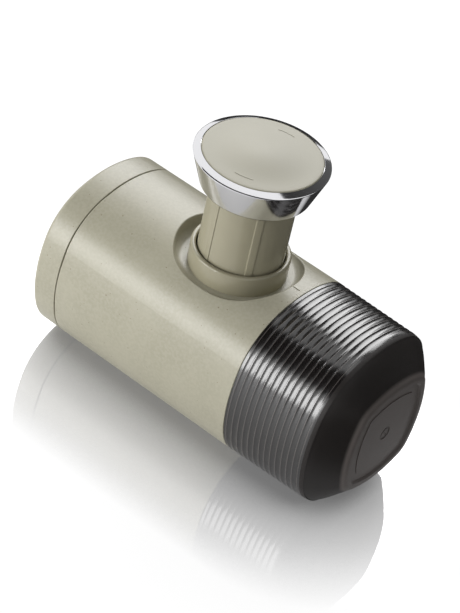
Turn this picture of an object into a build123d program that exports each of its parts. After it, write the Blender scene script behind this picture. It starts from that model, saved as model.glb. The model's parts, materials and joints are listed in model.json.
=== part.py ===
"""Handheld manual espresso maker: a pump body with a side plunger, a water tank and a drinking cup.

Frame: +X runs along the body towards the cup, +Z along the plunger.  The origin lies under the middle
of the overall length, on the surface that the body rests on.  Millimetres.
"""
import os
from math import atan2, cos, degrees, radians, sin, sqrt

from build123d import *

os.makedirs("parts", exist_ok=True)

# ---------------------------------------------------------------- driving dimensions
# outer form
body_width = 68.0             # across the flats of the rounded-square section
side_radius = 50.0            # bulge of each flat
corner_radius = 25.0          # rounding between two flats
rest_width = 14.0             # flat along the underside, so that the body doesn't roll
cap_length = 11.2             # visible end of the water tank
cap_edge_radius = 1.8
body_length = 83.0
cup_length = 46.5
seam_gap = 0.35               # shadow line between tank and body
joint_gap = 0.25              # shadow line between body and cup
edge_break = 0.3              # rounding of the edges beside those two lines

# body shell
shell_wall = 2.6
socket_wall = 3.4             # thinnest wall round the mouth that takes the tank
socket_length = 8.0
recess_room = 4.0             # dished ring outside the knob's foot when the plunger is down
recess_depth = 6.0
recess_floor_wall = 3.0
recess_draft = 1.1            # how far the recess wall leans in at the bottom
recess_cove_radius = 3.6
recess_edge_radius = 0.5
tick_length = 3.1             # locking mark between collar and cup
tick_width = 0.5
tick_depth = 0.3
tick_inset = 2.1              # mark to cup joint

# cup
cup_wall = 2.4
cup_draft = 0.6               # how much the grip band draws in on each side
cup_shoulder_length = 11.8    # tapered part at the foot of the cup
cup_foot_width = 39.6
cup_foot_side_radius = 50.0
cup_foot_corner_radius = 9.0
cup_floor = 2.4
cup_lip_width = 1.5
cup_lip_depth = 0.8
cup_plateau_inset = 3.4       # bare ring between the lip and the plateau
cup_plateau_height = 0.25
cup_dimple_radius = 2.3
rib_count = 13
rib_pitch = 2.5
rib_first = 2.4
rib_depth = 0.4
rib_land = 0.45               # width of the crest between two flutes

# collar
collar_radius = 18.5
collar_rise = 2.3             # collar lip above the top of the body
collar_wall = 2.0
collar_step = 0.8             # shoulder that sits on the recess floor
collar_length = 18.8
collar_lip_radius = 0.85
wiper_height = 1.9
wiper_depth = 1.4             # groove for the wiper
wiper_rise = 3.0              # middle of the groove above the recess floor
collar_nut_wall = 2.85
collar_nut_height = 3.4
collar_nut_slots = 6
collar_nut_slot_width = 3.2
collar_nut_slot_depth = 1.6

# stem and knob
stem_gap = 0.5                # play between stem and collar
stem_wall = 2.4
stem_flange_lip = 1.7         # stop that catches under the collar
stem_plate_thickness = 3.4
stem_rib_height = 0.3
stem_rib_width = 2.0
stem_rib_count = 6
stem_rib_start = -102.0       # degrees from +X
knob_rise = 44.0              # top of the knob pad above the body, plunger out
knob_ring_height = 14.4
knob_rim_radius = 24.8
knob_rim_drop = 1.5           # height of the bevel between rim and pad
knob_bevel_width = 2.8
knob_rim_edge = 0.5
knob_foot_edge = 0.7
knob_wall = 1.5
knob_screw_count = 3
knob_screw_inset = 3.2        # from the inside of the stem
pad_thickness = 2.5
pad_border = 1.3
pad_edge_slope = 0.3
pad_dish = 0.45

# pump
bore_radius = 6.0
cylinder_wall = 1.8
cylinder_let_in = 2.0         # foot of the cylinder inside the valve block
cylinder_lift = 1.0           # underside of the cylinder above the block's main face
cylinder_margin = 3.0         # cylinder above the piston head, plunger out
cylinder_mouth_chamfer = 0.8
rod_radius = 3.0
rod_flange_gap = 1.0
rod_flange_thickness = 2.5
rod_pilot = 1.0               # step that centres the rod in the stem
rod_pilot_gap = 0.2
head_length = 6.5
head_gap = 0.15
head_landing = 2.5            # room below the piston head, plunger down
head_cup_depth = 4.5          # rod inside the head
head_chamfer = 0.5
seal_height = 1.9
seal_depth = 1.6
seal_rise = 3.4               # middle of the seal above the foot of the head
spring_wire = 1.6
spring_gap = 1.8              # between cylinder and spring
spring_turns = 10
spring_seat_thickness = 1.0
spring_seat_lip = 1.0
stem_landing = 1.0            # room below the stem, plunger down

# valve block
valve_block_width = 14.0
valve_block_height = 7.5
valve_block_edge = 1.0
valve_bore_radius = 1.5
riser_radius = 1.2
valve_chamber_radius = 2.8
valve_chamber_length = 5.0
valve_offset = 14.0           # outer end of each valve chamber from the plunger axis
valve_thickness = 1.6
valve_wing = 0.7
valve_gap = 0.15
valve_travel = 1.2

# frame and bulkhead
frame_wall = 2.4
frame_top_gap = 5.0           # below the boss that carries the collar
frame_window_length = 29.6
frame_window_height = 9.0
frame_window_drop = 3.0
bed_height = 1.5              # rail under the valve block
bed_width = 12.0
post_radius = 3.3
post_web = 4.0
bulkhead_thickness = 3.0
bulkhead_gap = 1.2
screw_inset = 7.4             # screw circle inside the shell
screw_angles = (25, 155, 222, 318)
screw_radius = 1.5
screw_head_radius = 2.7
screw_head_height = 1.8
screw_length = 9.0

# tank
tank_wall = 2.0
tank_gap = 0.5
tank_cap_floor = 3.2
tank_floor_edge = 1.5
gasket_thickness = 1.5
gasket_lip = 0.6
ring_groove_depth = 0.9
ring_groove_width = 2.2
tank_groove_inset = 3.0       # from the seam
intake_inset = 8.1            # intake below the inside of the tank
intake_length = 16.0
intake_radius = 2.9
intake_wall = 1.3
filter_wall = 1.5
filter_length = 9.0
filter_slot = 0.9
filter_floor = 1.0
vent_inset = 14.1
vent_radius = 2.0
vent_cap_radius = 4.2
vent_cap_thickness = 1.4

# brewing head
base_thickness = 3.0
spigot_length = 8.0
spigot_wall = 2.2
cup_groove_inset = 3.6        # from the joint
cup_groove_depth = 1.0
thread_wall = 2.6
thread_length = 12.0
basket_rim = 2.2              # flange of the basket outside its wall
basket_rim_thickness = 1.0
basket_wall = 0.8
basket_depth = 13.0
basket_edge = 1.6
basket_hole_radius = 0.6
basket_hole_pitch = 4.6
shower_thickness = 1.0
shower_hole_radius = 0.7
shower_hole_pitch = 4.8
hole_rings = 3
head_gasket_thickness = 2.0
cap_wall = 2.6                # skirt of the screwed outlet head
cap_floor = 2.8
cap_edge = 3.0
cap_grip_count = 18
cap_grip_radius = 2.0
cap_grip_depth = 0.8
cap_setback = 2.0             # skirt to the joint
cap_plain_band = 3.0
skirt_gap = 2.0               # between the skirt and the cup spigot
drain_depth = 0.8
drain_inset = 2.0
spout_length = 7.0
spout_radius = 5.0
spout_bore = 2.2
spout_tip_wall = 1.4
spout_flange = 1.6
spout_flange_height = 1.4
spout_taper_height = 1.0

# clearances
fit = 0.05                    # pressed or screwed together
seal_fit = 0.08               # a seal against the wall it wipes
running_gap = 0.2             # sliding and turning pieces
free_gap = 0.3                # pieces that only pass each other
overshoot = 1.0               # how far a cut runs past the face that it opens

# ---------------------------------------------------------------- places worked out from them
half_width = body_width / 2
rest_depth = side_radius - sqrt(side_radius**2 - (rest_width / 2) ** 2)
axis_z = half_width - rest_depth
total_length = cap_length + body_length + cup_length
tank_end_x = -total_length / 2
seam_x = tank_end_x + cap_length
cup_joint_x = seam_x + body_length
cup_end_x = cup_joint_x + cup_length

cavity_half = half_width - shell_wall               # half widths of the square sections
cup_inner_half = half_width - cup_wall
spigot_half = cup_inner_half - free_gap
frame_half = cavity_half - fit
socket_radius = half_width - socket_wall
tank_radius = socket_radius - tank_gap

collar_spigot_radius = collar_radius - collar_step
collar_bore = collar_radius - collar_wall
stem_radius = collar_bore - stem_gap
stem_inner = stem_radius - stem_wall
stem_flange_radius = collar_bore + stem_flange_lip
stem_screw_circle = stem_inner - knob_screw_inset
knob_foot_inner = collar_radius + free_gap
knob_foot_radius = knob_foot_inner + knob_wall
pad_radius = knob_rim_radius - knob_bevel_width
recess_radius = knob_foot_radius + recess_room
boss_radius = recess_radius + shell_wall

recess_floor = half_width - recess_depth            # heights are above the body axis
boss_floor = recess_floor - recess_floor_wall
frame_top = boss_floor - frame_top_gap
collar_top = half_width + collar_rise
collar_foot = collar_top - collar_length
knob_top = half_width + knob_rise
knob_foot = knob_top - knob_ring_height
pad_floor = knob_top - pad_thickness
web_floor = pad_floor - knob_wall                   # disc inside the knob ring that takes the screws
stem_bottom = collar_foot - fit - stem_wall
stem_plate_floor = web_floor - stem_plate_thickness
block_floor = frame_wall + bed_height - frame_half
block_top = block_floor + valve_block_height
valve_line = (block_top + block_floor) / 2
stroke = stem_bottom - stem_landing - block_top     # what the body leaves room for
cylinder_foot = block_top + cylinder_lift
boss_top = cylinder_foot + cylinder_let_in
head_floor = cylinder_foot + head_landing + stroke  # piston face with the plunger out
cylinder_top = head_floor + head_length + cylinder_margin
rod_flange_top = stem_plate_floor - fit
rod_flange_floor = rod_flange_top - rod_flange_thickness
spring_floor = boss_top + spring_seat_thickness + fit
spring_top = rod_flange_floor - fit

cylinder_radius = bore_radius + cylinder_wall
spring_radius = cylinder_radius + spring_gap + spring_wire / 2
seat_radius = spring_radius + spring_wire / 2 + spring_seat_lip
rod_flange_radius = stem_inner - rod_flange_gap
rod_pilot_radius = rod_radius + rod_pilot
rod_hole_radius = rod_pilot_radius + rod_pilot_gap

piston_x = cup_joint_x - base_thickness - fit - boss_radius
frame_start_x = piston_x - boss_radius - fit
frame_end_x = piston_x + boss_radius + fit
frame_length = frame_end_x - frame_start_x
bulkhead_x = frame_start_x - bulkhead_thickness
gasket_x = bulkhead_x - gasket_thickness
tank_mouth_x = gasket_x - fit
tank_floor_x = tank_end_x + tank_cap_floor
tank_groove_x = seam_x + tank_groove_inset
screw_circle = cavity_half - screw_inset
bulkhead_radius = cavity_half - bulkhead_gap
intake_drop = tank_radius - intake_inset
vent_rise = tank_radius - vent_inset

cup_mouth_x = cup_joint_x + joint_gap
shoulder_x = cup_end_x - cup_shoulder_length
shoulder_half = half_width - cup_draft
foot_half = cup_foot_width / 2
cup_floor_x = cup_end_x - cup_lip_depth

skirt_radius = spigot_half - spigot_wall - skirt_gap
skirt_inner = skirt_radius - cap_wall
thread_radius = skirt_inner - free_gap
head_bore = thread_radius - thread_wall
basket_radius = head_bore - basket_rim

column_axis = Axis((piston_x, 0, axis_z), (0, 0, 1))
body_axis = Axis((0, 0, axis_z), (1, 0, 0))
column_profile = Plane(origin=(piston_x, 0, axis_z), x_dir=(1, 0, 0), z_dir=(0, -1, 0))
body_profile = Plane(origin=(0, 0, axis_z), x_dir=(1, 0, 0), z_dir=(0, -1, 0))


def section_plane(x):
    """Plane across the body at x, its origin on the body axis."""
    return Plane(origin=(x, 0, axis_z), x_dir=(0, 1, 0), z_dir=(1, 0, 0))


def column_plane(height):
    """Level plane at a height above the body axis, its origin on the plunger axis."""
    return Plane(origin=(piston_x, 0, axis_z + height), x_dir=(1, 0, 0), z_dir=(0, 0, 1))


def square_arcs(half, side, corner):
    """Centres and swing of the eight tangent arcs of a square with bulged sides."""
    reach = side - half
    lever = side - corner
    corner_at = (sqrt(2 * lever**2 - reach**2) - reach) / 2
    swing = degrees(atan2(corner_at, corner_at + reach))
    return reach, corner_at, swing


def square_outline(half, side, corner):
    """Draw the bulged square in the line that is open."""
    reach, corner_at, swing = square_arcs(half, side, corner)
    for quarter in range(4):
        turn = 90 * quarter
        c, s = cos(radians(turn)), sin(radians(turn))
        CenterArc((-reach * c, -reach * s), side, turn - swing, 2 * swing)
        CenterArc((corner_at * (c - s), corner_at * (s + c)), corner, turn + swing, 90 - 2 * swing)


def rounded_square(half, mode=Mode.ADD):
    """Body section of the given half width, with its arcs parallel to the outer ones."""
    inset = half_width - half
    with BuildLine() as outline:
        square_outline(half, side_radius - inset, corner_radius - inset)
    make_face(outline.line, mode=mode)


def foot_square(half, mode=Mode.ADD):
    """Squarer section of the cup's foot, with its arcs parallel to the foot's edge."""
    inset = foot_half - half
    with BuildLine() as outline:
        square_outline(half, cup_foot_side_radius - inset, cup_foot_corner_radius - inset)
    make_face(outline.line, mode=mode)


def ring_profile(inner, outer, low, high, mode=Mode.ADD):
    """Rectangle that a revolve turns into a plain ring."""
    with Locations(((inner + outer) / 2, (low + high) / 2)):
        Rectangle(outer - inner, high - low, mode=mode)


def end_edges(part, x):
    """Edges that lie in the plane across the body at x."""
    return part.edges().filter_by_position(Axis.X, x - fit / 10, x + fit / 10)


def save(piece, name):
    """Label a finished piece and write it to its own file."""
    piece.part.label = name
    export_step(piece.part, f"parts/{name}.step")


# ---------------------------------------------------------------- body shell
# inside of the shell: the body section, less a boss that carries the recess and the collar
with BuildPart() as pump_cavity:
    with BuildSketch(section_plane(seam_x + socket_length)):
        rounded_square(cavity_half)
    extrude(amount=body_length - socket_length)
    with BuildSketch(column_plane(boss_floor)):
        Circle(boss_radius)
    extrude(amount=half_width, mode=Mode.SUBTRACT)

with BuildPart() as body_shell:
    with BuildSketch(section_plane(seam_x)):
        rounded_square(half_width)
    extrude(amount=body_length)
    fillet(end_edges(body_shell, seam_x) + end_edges(body_shell, cup_joint_x), edge_break)
    with BuildSketch(section_plane(seam_x)):
        Circle(socket_radius)
    extrude(amount=socket_length, mode=Mode.SUBTRACT)
    add(pump_cavity.part, mode=Mode.SUBTRACT)
    # dished recess: a flat floor, a cove and a wall that leans out; it runs out at the two flanks
    with BuildSketch(column_profile):
        with BuildLine():
            FilletPolyline(
                (0, recess_floor),
                (recess_radius - recess_draft, recess_floor),
                (recess_radius, half_width),
                radius=recess_cove_radius,
            )
            Polyline(
                (recess_radius, half_width),
                (recess_radius, half_width + overshoot),
                (0, half_width + overshoot),
                (0, recess_floor),
            )
        make_face()
    revolve(axis=column_axis, mode=Mode.SUBTRACT)
    fillet(body_shell.edges(Select.LAST).filter_by(GeomType.BSPLINE), recess_edge_radius)
    with BuildSketch(column_plane(boss_floor)):
        Circle(collar_spigot_radius + fit)
    extrude(amount=recess_depth, mode=Mode.SUBTRACT)
    with BuildSketch(Plane.XY.offset(axis_z + half_width)):
        with Locations((cup_joint_x - tick_inset - tick_length / 2, 0)):
            SlotOverall(tick_length, tick_width)
    extrude(amount=-tick_depth, mode=Mode.SUBTRACT)
    with BuildSketch(Plane.XY):
        Rectangle(total_length, body_width)
    extrude(amount=-overshoot, mode=Mode.SUBTRACT)
save(body_shell, "body_shell")

# ---------------------------------------------------------------- pump frame inside the shell
# screw places as (y, z) from the body axis
screw_spots = [
    (screw_circle * cos(radians(angle)), screw_circle * sin(radians(angle))) for angle in screw_angles
]

with BuildPart() as pump_frame:
    with BuildSketch(section_plane(frame_start_x)):
        rounded_square(frame_half)
        rounded_square(frame_half - frame_wall, mode=Mode.SUBTRACT)
    extrude(amount=frame_length)
    # rail under the valve block, let into the wall
    with BuildSketch(section_plane(frame_start_x)):
        with Locations((0, block_floor)):
            Rectangle(bed_width, bed_height + frame_wall / 2, align=(Align.CENTER, Align.MAX))
    extrude(amount=frame_length)
    # posts for the screws at both ends, each with a web to the wall
    with BuildSketch(section_plane(frame_start_x)):
        for angle in screw_angles:
            with PolarLocations(screw_circle, 1, start_angle=angle):
                Circle(post_radius)
                Rectangle(frame_half - screw_circle + post_web, frame_wall, align=(Align.MIN, Align.CENTER))
    extrude(amount=frame_length)
    # trim the webs to the outer form
    with BuildSketch(section_plane(frame_start_x)):
        rounded_square(frame_half)
    extrude(amount=frame_length, mode=Mode.INTERSECT)
    # open top
    with BuildSketch(section_plane(frame_start_x)):
        with Locations((0, frame_top)):
            Rectangle(body_width, half_width, align=(Align.CENTER, Align.MIN))
    extrude(amount=frame_length, mode=Mode.SUBTRACT)
    # room for the stem to come down between the posts
    with BuildSketch(column_plane(block_top)):
        Circle(stem_flange_radius + 3 * free_gap)
    extrude(amount=frame_top - block_top, mode=Mode.SUBTRACT)
    with BuildSketch(section_plane(frame_start_x)):
        with Locations(screw_spots):
            Circle(screw_radius + fit)
    extrude(amount=frame_length, mode=Mode.SUBTRACT)
    # lightening windows in the side walls
    with BuildSketch(column_profile):
        with Locations((0, -frame_window_drop)):
            SlotOverall(frame_window_length, frame_window_height)
    extrude(amount=half_width, both=True, mode=Mode.SUBTRACT)
save(pump_frame, "pump_frame")

# ---------------------------------------------------------------- valve block and valves
inlet_seat_x = piston_x - valve_offset
outlet_seat_x = piston_x + valve_offset - valve_chamber_length
gasket_floor = cylinder_foot - cylinder_lift + running_gap

with BuildPart() as valve_block:
    with BuildSketch(section_plane(frame_start_x)):
        with Locations((0, valve_line)):
            RectangleRounded(valve_block_width, valve_block_height, valve_block_edge)
    extrude(amount=frame_length)
    # round boss that takes the cylinder's foot and the spring's seat
    with BuildSketch(column_plane(valve_line + riser_radius)):
        Circle(seat_radius)
    extrude(amount=boss_top - valve_line - riser_radius)
    with BuildSketch(column_plane(gasket_floor)):
        Circle(cylinder_radius + fit)
    extrude(amount=boss_top - gasket_floor, mode=Mode.SUBTRACT)
    with BuildSketch(column_plane(valve_line)):
        Circle(riser_radius)
    extrude(amount=cylinder_foot - valve_line, mode=Mode.SUBTRACT)
    # one long passage with a wider chamber for each valve
    with BuildSketch(section_plane(frame_start_x)):
        with Locations((0, valve_line)):
            Circle(valve_bore_radius)
    extrude(amount=frame_length, mode=Mode.SUBTRACT)
    for seat_x in (inlet_seat_x, outlet_seat_x):
        with BuildSketch(section_plane(seat_x)):
            with Locations((0, valve_line)):
                Circle(valve_chamber_radius)
        extrude(amount=valve_chamber_length, mode=Mode.SUBTRACT)
save(valve_block, "valve_block")


def make_valve(seat_x):
    """Loose disc with a three-winged guide that lets water past."""
    with BuildPart() as valve:
        with BuildSketch(section_plane(seat_x + fit)):
            with Locations((0, valve_line)):
                Circle(valve_chamber_radius - valve_gap)
        extrude(amount=valve_thickness)
        with BuildSketch(section_plane(seat_x + fit + valve_thickness)):
            with Locations((0, valve_line)):
                with PolarLocations(0, 3):
                    Rectangle(valve_chamber_radius - running_gap, valve_wing, align=(Align.MIN, Align.CENTER))
        extrude(amount=valve_chamber_length - valve_thickness - valve_travel - 2 * fit)
    return valve


inlet_valve = make_valve(inlet_seat_x)
save(inlet_valve, "inlet_valve")
outlet_valve = make_valve(outlet_seat_x)
save(outlet_valve, "outlet_valve")

# ---------------------------------------------------------------- pump cylinder
with BuildPart() as cylinder_gasket:
    with BuildSketch(column_profile):
        ring_profile(bore_radius - head_chamfer, cylinder_radius, gasket_floor, cylinder_foot)
    revolve(axis=column_axis)
save(cylinder_gasket, "cylinder_gasket")

with BuildPart() as pump_cylinder:
    with BuildSketch(column_profile):
        ring_profile(bore_radius, cylinder_radius, cylinder_foot, cylinder_top)
    revolve(axis=column_axis)
    mouth = pump_cylinder.edges().filter_by(GeomType.CIRCLE).group_by(Axis.Z)[-1].sort_by(SortBy.RADIUS)[0]
    chamfer(mouth, cylinder_mouth_chamfer)
save(pump_cylinder, "pump_cylinder")

# ---------------------------------------------------------------- collar round the stem
wiper_middle = recess_floor + wiper_rise
with BuildPart() as collar:
    with BuildSketch(column_profile):
        ring_profile(collar_bore, collar_radius, recess_floor, collar_top)
        ring_profile(collar_bore, collar_spigot_radius, collar_foot, recess_floor)
        with Locations((collar_bore, wiper_middle)):
            Rectangle(wiper_depth, wiper_height + 2 * fit, mode=Mode.SUBTRACT)
    revolve(axis=column_axis)
    lip = collar.edges().filter_by(GeomType.CIRCLE).group_by(Axis.Z)[-1]
    fillet(lip, collar_lip_radius)
save(collar, "collar")

with BuildPart() as wiper_seal:
    with BuildSketch(column_profile):
        with Locations((collar_bore - seal_fit, wiper_middle)):
            Rectangle(wiper_depth / 2 + seal_fit - fit, wiper_height, align=(Align.MIN, Align.CENTER))
    revolve(axis=column_axis)
save(wiper_seal, "wiper_seal")

nut_floor = boss_floor - collar_nut_height
nut_radius = collar_spigot_radius + fit + collar_nut_wall
with BuildPart() as collar_nut:
    with BuildSketch(column_profile):
        ring_profile(collar_spigot_radius + fit, nut_radius, nut_floor, boss_floor)
    revolve(axis=column_axis)
    # slots for a pin spanner
    with BuildSketch(column_plane(nut_floor)):
        with PolarLocations(nut_radius, collar_nut_slots):
            Rectangle(collar_nut_wall, collar_nut_slot_width)
    extrude(amount=collar_nut_slot_depth, mode=Mode.SUBTRACT)
save(collar_nut, "collar_nut")

# ---------------------------------------------------------------- plunger
with BuildPart() as piston_stem:
    with BuildSketch(column_profile):
        ring_profile(stem_inner, stem_radius, stem_bottom, web_floor)
        ring_profile(stem_inner, stem_flange_radius, stem_bottom, stem_bottom + stem_wall)
        ring_profile(rod_hole_radius, stem_inner, stem_plate_floor, web_floor)
    revolve(axis=column_axis)
    # raised ribs along the outside, each rooted in the wall
    with BuildSketch(column_plane(stem_bottom + stem_wall)):
        with PolarLocations(stem_radius + stem_rib_height, stem_rib_count, start_angle=stem_rib_start):
            Rectangle(stem_wall / 2, stem_rib_width, align=(Align.MAX, Align.CENTER))
    extrude(amount=web_floor - stem_bottom - stem_wall)
    with BuildSketch(column_plane(stem_plate_floor)):
        with PolarLocations(stem_screw_circle, knob_screw_count):
            Circle(screw_radius + fit)
    extrude(amount=stem_plate_thickness, mode=Mode.SUBTRACT)
save(piston_stem, "piston_stem")

rod_foot = head_floor + head_length - head_cup_depth
with BuildPart() as piston_rod:
    with BuildSketch(column_profile):
        ring_profile(0, rod_radius, rod_foot, rod_flange_floor)
        ring_profile(0, rod_flange_radius, rod_flange_floor, rod_flange_top)
        ring_profile(0, rod_pilot_radius, rod_flange_top, web_floor - free_gap)
    revolve(axis=column_axis)
save(piston_rod, "piston_rod")

seal_middle = head_floor + seal_rise
with BuildPart() as piston_head:
    with BuildSketch(column_profile):
        ring_profile(0, bore_radius - head_gap, head_floor, head_floor + head_length)
        with Locations((bore_radius - seal_depth, seal_middle)):
            Rectangle(seal_depth, seal_height + 2 * fit, align=(Align.MIN, Align.CENTER), mode=Mode.SUBTRACT)
        ring_profile(0, rod_radius, rod_foot, head_floor + head_length, mode=Mode.SUBTRACT)
    revolve(axis=column_axis)
    foot = piston_head.edges().filter_by(GeomType.CIRCLE).group_by(Axis.Z)[0]
    chamfer(foot, head_chamfer)
save(piston_head, "piston_head")

with BuildPart() as piston_seal:
    with BuildSketch(column_profile):
        with Locations((bore_radius - seal_depth, seal_middle)):
            Rectangle(seal_depth - seal_fit, seal_height, align=(Align.MIN, Align.CENTER))
    revolve(axis=column_axis)
save(piston_seal, "piston_seal")

with BuildPart() as spring_seat:
    with BuildSketch(column_profile):
        ring_profile(cylinder_radius + running_gap, seat_radius, boss_top, boss_top + spring_seat_thickness)
    revolve(axis=column_axis)
save(spring_seat, "spring_seat")

with BuildPart() as piston_spring:
    wire_radius = spring_wire / 2
    lead = spring_top - spring_floor - spring_wire
    with BuildLine(column_plane(spring_floor + wire_radius)) as coil:
        Helix(pitch=lead / spring_turns, height=lead, radius=spring_radius)
    with BuildSketch(Plane(origin=coil.line @ 0, z_dir=coil.line % 0)):
        Circle(wire_radius)
    sweep(is_frenet=True)
save(piston_spring, "piston_spring")

# ---------------------------------------------------------------- knob
rim_low = knob_top - knob_rim_drop
cone_slope = (knob_rim_radius - knob_foot_radius) / (rim_low - knob_foot)
crown_inner = knob_foot_inner + cone_slope * (web_floor - knob_foot)
pocket_radius = pad_radius + fit
with BuildPart() as knob_ring:
    with BuildSketch(column_profile):
        with BuildLine():
            Polyline(
                (rod_hole_radius, web_floor),
                (crown_inner, web_floor),
                (knob_foot_inner, knob_foot),
                (knob_foot_radius, knob_foot),
                (knob_rim_radius, rim_low),
                (pocket_radius + edge_break, knob_top),
                (pocket_radius, knob_top - edge_break),
                (pocket_radius, pad_floor),
                (rod_hole_radius, pad_floor),
                close=True,
            )
        make_face()
    revolve(axis=column_axis)
    rings = knob_ring.edges().filter_by(GeomType.CIRCLE)
    rim = [edge for edge in rings if abs(edge.radius - knob_rim_radius) < fit]
    foot = [edge for edge in rings if abs(edge.radius - knob_foot_radius) < fit]
    fillet(rim, knob_rim_edge)
    fillet(foot, knob_foot_edge)
    with BuildSketch(column_plane(web_floor)):
        with PolarLocations(stem_screw_circle, knob_screw_count):
            Circle(screw_radius + fit)
    extrude(amount=knob_wall, mode=Mode.SUBTRACT)
save(knob_ring, "knob_ring")

border_inner = pad_radius - pad_border
knob_screw_rise = screw_head_height - 2 * free_gap   # low heads under the pad
with BuildPart() as knob_pad:
    # a raised border, a short slope and one shallow dish across the middle
    with BuildSketch(column_profile):
        with BuildLine():
            Polyline(
                (0, knob_top - pad_dish),
                (0, pad_floor),
                (pad_radius, pad_floor),
                (pad_radius, knob_top),
                (border_inner, knob_top),
                (border_inner - pad_edge_slope, knob_top - pad_edge_slope),
            )
            TangentArc(
                (0, knob_top - pad_dish),
                (border_inner - pad_edge_slope, knob_top - pad_edge_slope),
                tangent=(1, 0),
            )
        make_face()
    revolve(axis=column_axis)
    # hollows over the screw heads
    with BuildSketch(column_plane(pad_floor)):
        with PolarLocations(stem_screw_circle, knob_screw_count):
            Circle(screw_head_radius + free_gap)
    extrude(amount=knob_screw_rise + fit, mode=Mode.SUBTRACT)
save(knob_pad, "knob_pad")

with BuildPart() as knob_screws:
    with BuildSketch(column_plane(stem_plate_floor)):
        with PolarLocations(stem_screw_circle, knob_screw_count):
            Circle(screw_radius)
    extrude(amount=pad_floor - stem_plate_floor)
    with BuildSketch(column_plane(pad_floor)):
        with PolarLocations(stem_screw_circle, knob_screw_count):
            Circle(screw_head_radius)
    extrude(amount=knob_screw_rise)
save(knob_screws, "knob_screws")

# ---------------------------------------------------------------- bulkhead towards the tank
with BuildPart() as tank_bulkhead:
    with BuildSketch(section_plane(bulkhead_x)):
        Circle(bulkhead_radius)
        with Locations((0, -intake_drop)):
            Circle(intake_radius + fit, mode=Mode.SUBTRACT)
        with Locations((0, vent_rise)):
            Circle(vent_radius, mode=Mode.SUBTRACT)
        with Locations(screw_spots):
            Circle(screw_radius + fit, mode=Mode.SUBTRACT)
    extrude(amount=bulkhead_thickness)
    with BuildSketch(section_plane(bulkhead_x)):
        with Locations(screw_spots):
            Circle(screw_head_radius + fit)
    extrude(amount=screw_head_height, mode=Mode.SUBTRACT)
save(tank_bulkhead, "tank_bulkhead")

with BuildPart() as tank_gasket:
    with BuildSketch(section_plane(gasket_x)):
        Circle(tank_radius)
        Circle(tank_radius - tank_wall - gasket_lip, mode=Mode.SUBTRACT)
    extrude(amount=gasket_thickness)
save(tank_gasket, "tank_gasket")

with BuildPart() as intake_tube:
    with BuildSketch(section_plane(bulkhead_x - intake_length)):
        with Locations((0, -intake_drop)):
            Circle(intake_radius)
            Circle(intake_radius - intake_wall, mode=Mode.SUBTRACT)
    extrude(amount=intake_length + bulkhead_thickness)
save(intake_tube, "intake_tube")

filter_x = bulkhead_x - intake_length - filter_length / 2
with BuildPart() as intake_filter:
    with BuildSketch(section_plane(filter_x)):
        with Locations((0, -intake_drop)):
            Circle(intake_radius + filter_wall)
    extrude(amount=filter_length)
    with BuildSketch(section_plane(filter_x + filter_floor)):
        with Locations((0, -intake_drop)):
            Circle(intake_radius + fit)
    extrude(amount=filter_length, mode=Mode.SUBTRACT)
    # strainer slots round the end that stands in the water
    with BuildSketch(section_plane(filter_x + filter_floor)):
        with Locations((0, -intake_drop)):
            for slot in range(4):
                Rectangle(2 * (intake_radius + filter_wall + overshoot), filter_slot, rotation=45 * slot)
    extrude(amount=filter_length / 2 - 2 * filter_floor, mode=Mode.SUBTRACT)
save(intake_filter, "intake_filter")

with BuildPart() as vent_valve:
    with BuildSketch(section_plane(bulkhead_x)):
        with Locations((0, vent_rise)):
            Circle(vent_radius - fit)
    extrude(amount=bulkhead_thickness + vent_cap_thickness / 2)
    with BuildSketch(section_plane(bulkhead_x - vent_cap_thickness)):
        with Locations((0, vent_rise)):
            Circle(vent_cap_radius)
    extrude(amount=vent_cap_thickness)
save(vent_valve, "vent_valve")

# ---------------------------------------------------------------- water tank
with BuildPart() as tank_cap:
    with BuildSketch(section_plane(tank_end_x)):
        rounded_square(half_width)
    extrude(amount=cap_length - seam_gap)
    fillet(end_edges(tank_cap, tank_end_x), cap_edge_radius)
    fillet(end_edges(tank_cap, seam_x - seam_gap), edge_break)
    with BuildSketch(section_plane(tank_floor_x)):
        Circle(tank_radius + fit)
    extrude(amount=cap_length, mode=Mode.SUBTRACT)
    with BuildSketch(Plane.XY):
        Rectangle(total_length, body_width)
    extrude(amount=-overshoot, mode=Mode.SUBTRACT)
save(tank_cap, "tank_cap")

with BuildPart() as water_tank:
    with BuildSketch(section_plane(tank_floor_x)):
        Circle(tank_radius)
    extrude(amount=tank_mouth_x - tank_floor_x)
    fillet(end_edges(water_tank, tank_floor_x), tank_floor_edge)
    with BuildSketch(section_plane(tank_floor_x + tank_wall)):
        Circle(tank_radius - tank_wall)
    extrude(amount=tank_mouth_x - tank_floor_x, mode=Mode.SUBTRACT)
    # groove for the seal inside the socket
    with BuildSketch(section_plane(tank_groove_x)):
        Circle(tank_radius + overshoot)
        Circle(tank_radius - ring_groove_depth, mode=Mode.SUBTRACT)
    extrude(amount=ring_groove_width, mode=Mode.SUBTRACT)
save(water_tank, "water_tank")

with BuildPart() as tank_seal:
    with BuildSketch(section_plane(tank_groove_x + running_gap / 2)):
        Circle(socket_radius - seal_fit)
        Circle(tank_radius - ring_groove_depth + fit, mode=Mode.SUBTRACT)
    extrude(amount=ring_groove_width - running_gap)
save(tank_seal, "tank_seal")

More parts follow.
